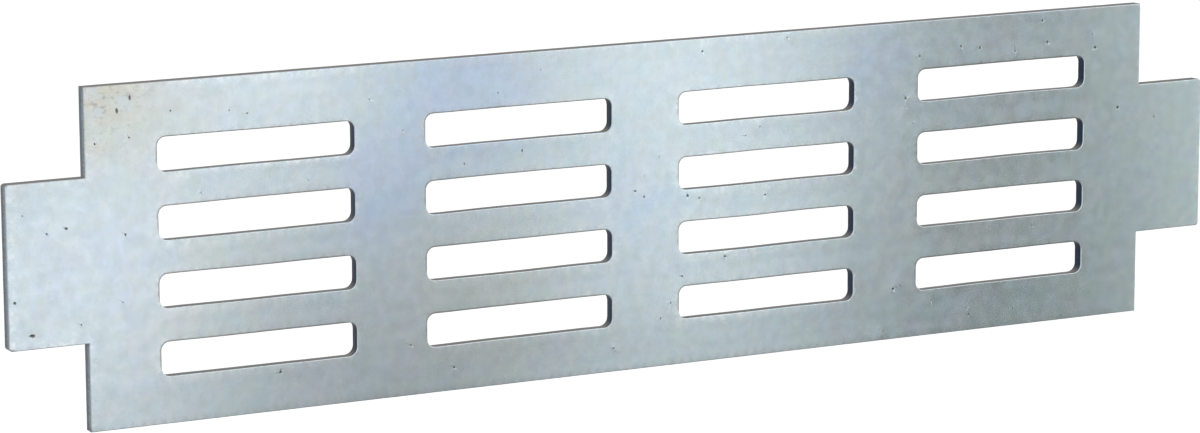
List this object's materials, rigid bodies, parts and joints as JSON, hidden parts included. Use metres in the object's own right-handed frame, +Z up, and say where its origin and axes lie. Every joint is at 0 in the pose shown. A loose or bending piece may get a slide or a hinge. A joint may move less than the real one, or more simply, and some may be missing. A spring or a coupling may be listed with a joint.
{
  "type": "slotted air grille plate",
  "caption": "Flat zinc-plated steel plate with rows of rounded slots that let air through, and a tab at each end that locates it in a frame.",
  "frame": {"origin": "centre of the plate's back face, on the web between the second and third slot columns", "axes": "+X along the plate, left to right as its front is seen; +Y out of the back face, so the front looks towards -Y; +Z up, across the rows of slots"},
  "size_m": [0.406, 0.004, 0.1],
  "materials": {
    "zinc_plated_steel": "satin, blue-passivated zinc plating"
  },
  "bodies": {
    "root": {"slotted_plate": "zinc_plated_steel"}
  },
  "joints": []
}
